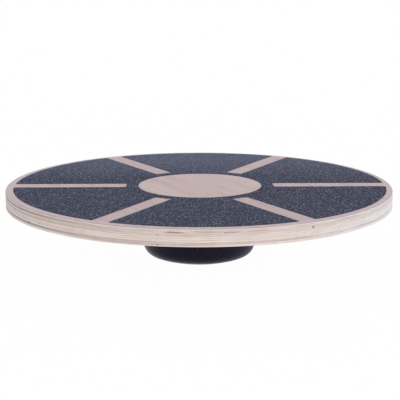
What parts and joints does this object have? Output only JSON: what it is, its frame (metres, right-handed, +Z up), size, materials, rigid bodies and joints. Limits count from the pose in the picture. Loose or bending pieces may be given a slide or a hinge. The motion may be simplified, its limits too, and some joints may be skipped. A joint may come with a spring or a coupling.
{
  "type": "wobble board",
  "caption": "Round plywood balance board with a grit grip sheet cut by bare radial stripes, screwed to a hollow domed plastic base that it tilts and turns on.",
  "frame": {"origin": "the middle of the bowl's flat pole, where the board meets the floor, under the deck's centre", "axes": "+Z up through the deck, which lies level; +X along the bare stripe at the right of the picture, to within the grip sheet's small turn"},
  "size_m": [0.4, 0.4, 0.0802],
  "materials": {
    "veneer": "pale sanded veneer under a thin clear coat",
    "long_ply": "sanded edge of a ply whose grain runs with the face",
    "cross_ply": "sanded edge of a ply whose grain runs across, a shade darker",
    "grip_grit": "charcoal grit bonded to a thin film",
    "bowl_plastic": "satin black moulding",
    "screw_steel": "zinc plated"
  },
  "bodies": {
    "root": {"face_veneer": "veneer", "upper_cross_ply": "cross_ply", "upper_long_ply": "long_ply", "upper_inner_cross_ply": "cross_ply", "core_ply": "long_ply", "lower_inner_cross_ply": "cross_ply", "lower_long_ply": "long_ply", "lower_cross_ply": "cross_ply", "back_veneer": "veneer", "grip_sheet": "grip_grit", "base_bowl": "bowl_plastic", "flange_screw_1": "screw_steel", "flange_screw_2": "screw_steel", "flange_screw_3": "screw_steel", "flange_screw_4": "screw_steel", "flange_screw_5": "screw_steel", "flange_screw_6": "screw_steel"}
  },
  "joints": []
}
